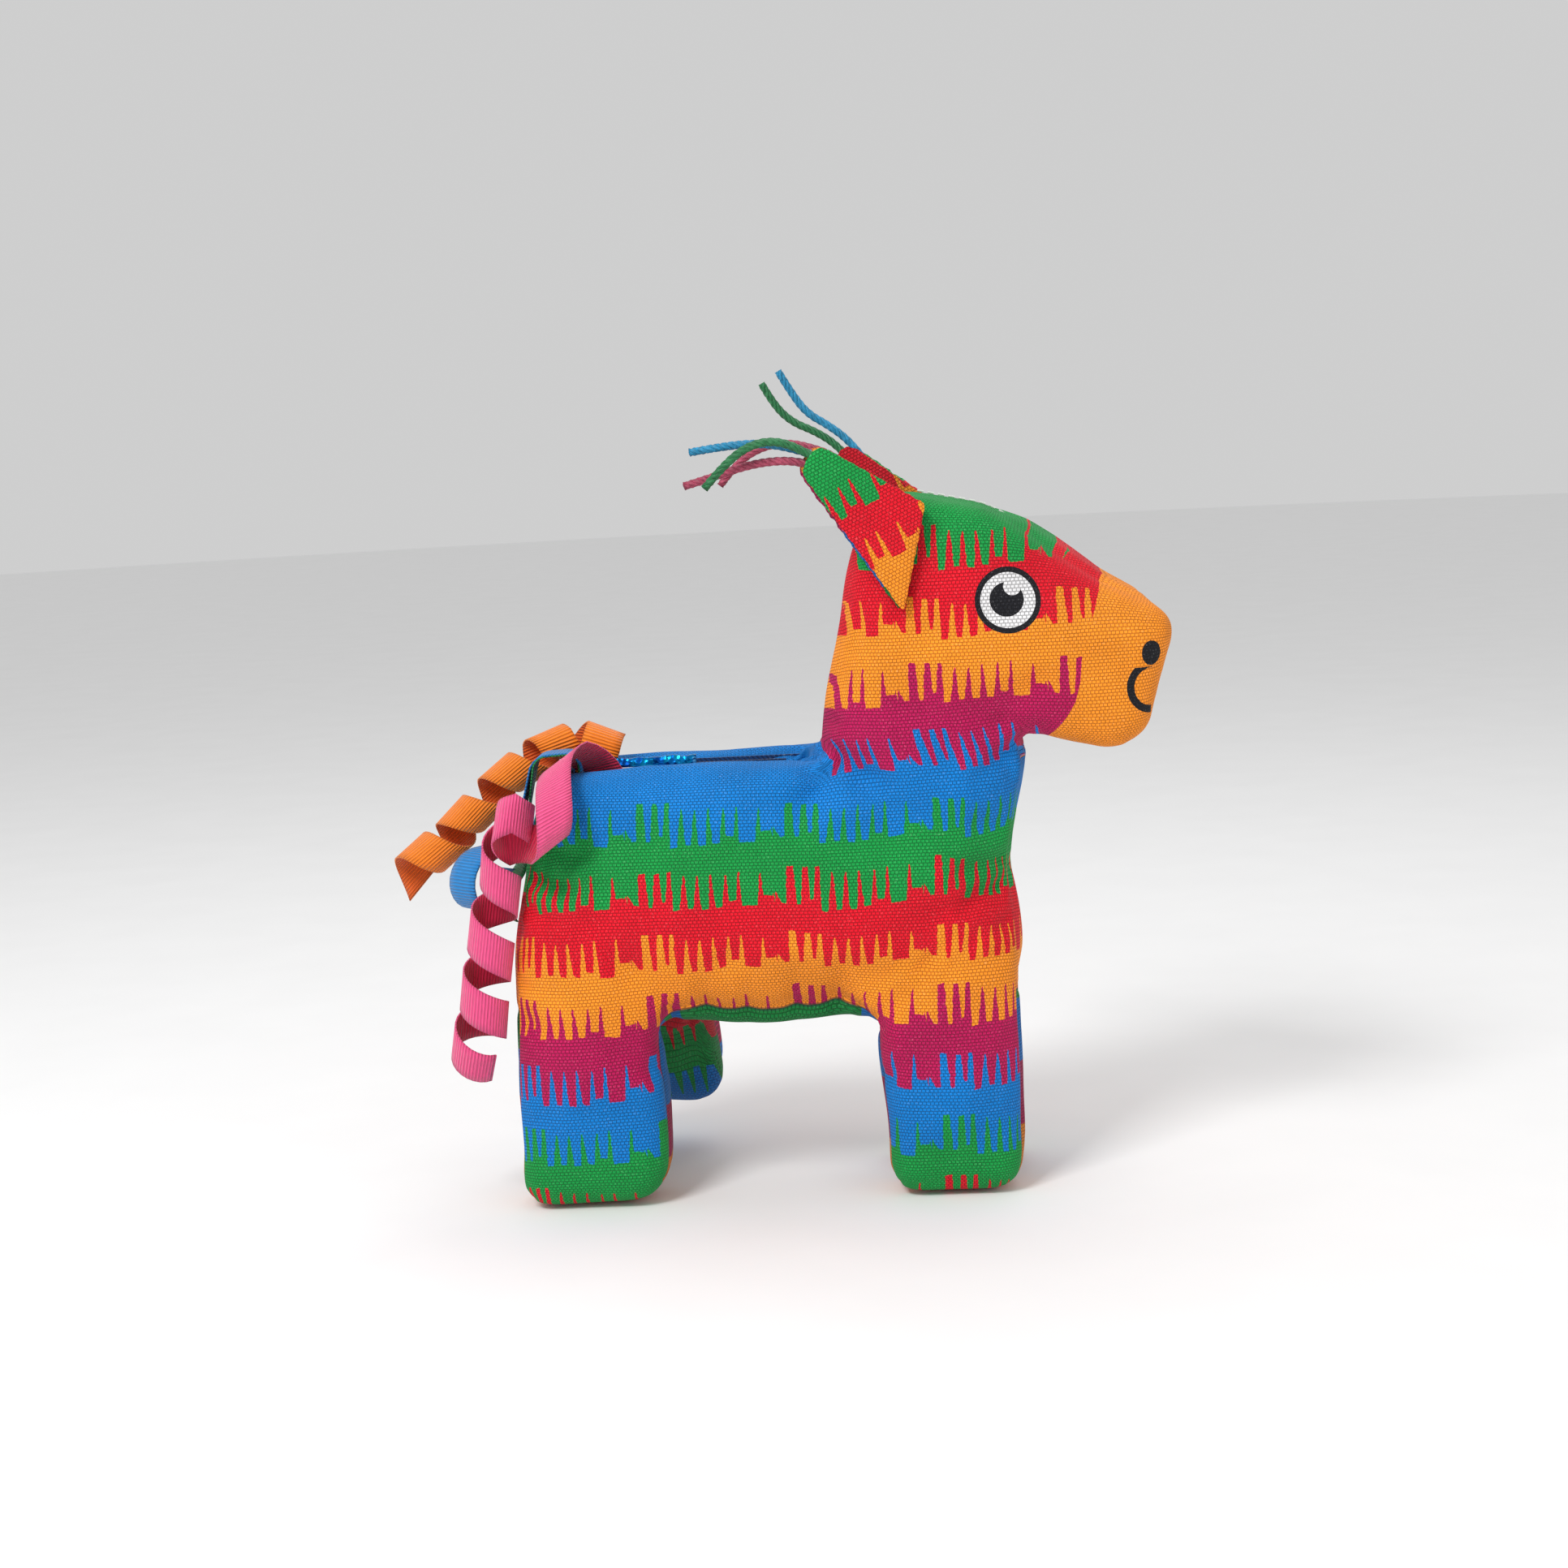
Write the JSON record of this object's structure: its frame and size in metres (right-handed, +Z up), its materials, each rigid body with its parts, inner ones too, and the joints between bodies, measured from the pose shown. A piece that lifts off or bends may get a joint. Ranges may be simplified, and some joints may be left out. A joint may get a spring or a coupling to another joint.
{
  "type": "plush pinata donkey",
  "caption": "Stuffed donkey pinata toy in fringed rainbow print with hinged ears, corded ear tips, open back pocket and a foil pouch with curled ribbon tails",
  "frame": {"origin": "centre of the footprint, on the floor", "axes": "+X from rump to muzzle, +Y from the right side to the left side, +Z up"},
  "size_m": [0.1979, 0.0839, 0.2053],
  "materials": {
    "printed_canvas": "printed plain weave in five colours",
    "gusset_canvas": "printed plain weave in five colours",
    "ear_canvas": "printed plain weave in five colours",
    "stuffing": "loose polyester fibre",
    "pocket_cloth": "plain weave",
    "tape": "hook and loop pile",
    "thread": "twisted thread",
    "foil": "metallised prismatic film",
    "crinkle": "crumpled clear film",
    "blue_wax_cord": "waxed braid",
    "green_wax_cord": "waxed braid",
    "pink_wax_cord": "waxed braid",
    "orange_grosgrain": "ribbed grosgrain",
    "pink_grosgrain": "ribbed grosgrain",
    "blue_grosgrain": "ribbed grosgrain",
    "green_grosgrain": "ribbed grosgrain"
  },
  "bodies": {
    "donkey": {"right_side_panel": "printed_canvas", "left_side_panel": "printed_canvas", "under_body_gusset": "gusset_canvas", "body_stuffing": "stuffing", "head_seam_thread": "thread", "pocket_lining": "pocket_cloth", "hook_tape": "tape", "loop_tape": "tape"},
    "right_ear": {"right_ear_front": "ear_canvas", "right_ear_padding": "stuffing", "right_ear_back": "ear_canvas", "right_blue_cord": "blue_wax_cord", "right_green_cord": "green_wax_cord", "right_pink_cord": "pink_wax_cord"},
    "left_ear": {"left_ear_front": "ear_canvas", "left_ear_padding": "stuffing", "left_ear_back": "ear_canvas", "left_blue_cord": "blue_wax_cord", "left_green_cord": "green_wax_cord", "left_pink_cord": "pink_wax_cord"},
    "insert": {"right_pouch_film": "foil", "left_pouch_film": "foil", "crinkle_filling": "crinkle", "orange_ribbon": "orange_grosgrain", "pink_ribbon": "pink_grosgrain", "blue_ribbon": "blue_grosgrain", "green_ribbon": "green_grosgrain"}
  },
  "joints": [
    {"name": "right_ear_fold", "type": "hinge", "parent": "donkey", "child": "right_ear", "pos_m": [0.036, -0.0314, 0.1583], "axis": [0.2385, 0, 0.9711], "range_deg": [-12, 40], "stiffness_Nm_per_rad": 0.02},
    {"name": "left_ear_fold", "type": "hinge", "parent": "donkey", "child": "left_ear", "pos_m": [0.04, 0.02, 0.1555], "axis": [-0.3223, 0, -0.9466], "range_deg": [-12, 40], "stiffness_Nm_per_rad": 0.02},
    {"name": "insert_lift", "type": "slide", "parent": "donkey", "child": "insert", "axis": [0, 0, 1], "range_m": [0, 0.06]}
  ]
}
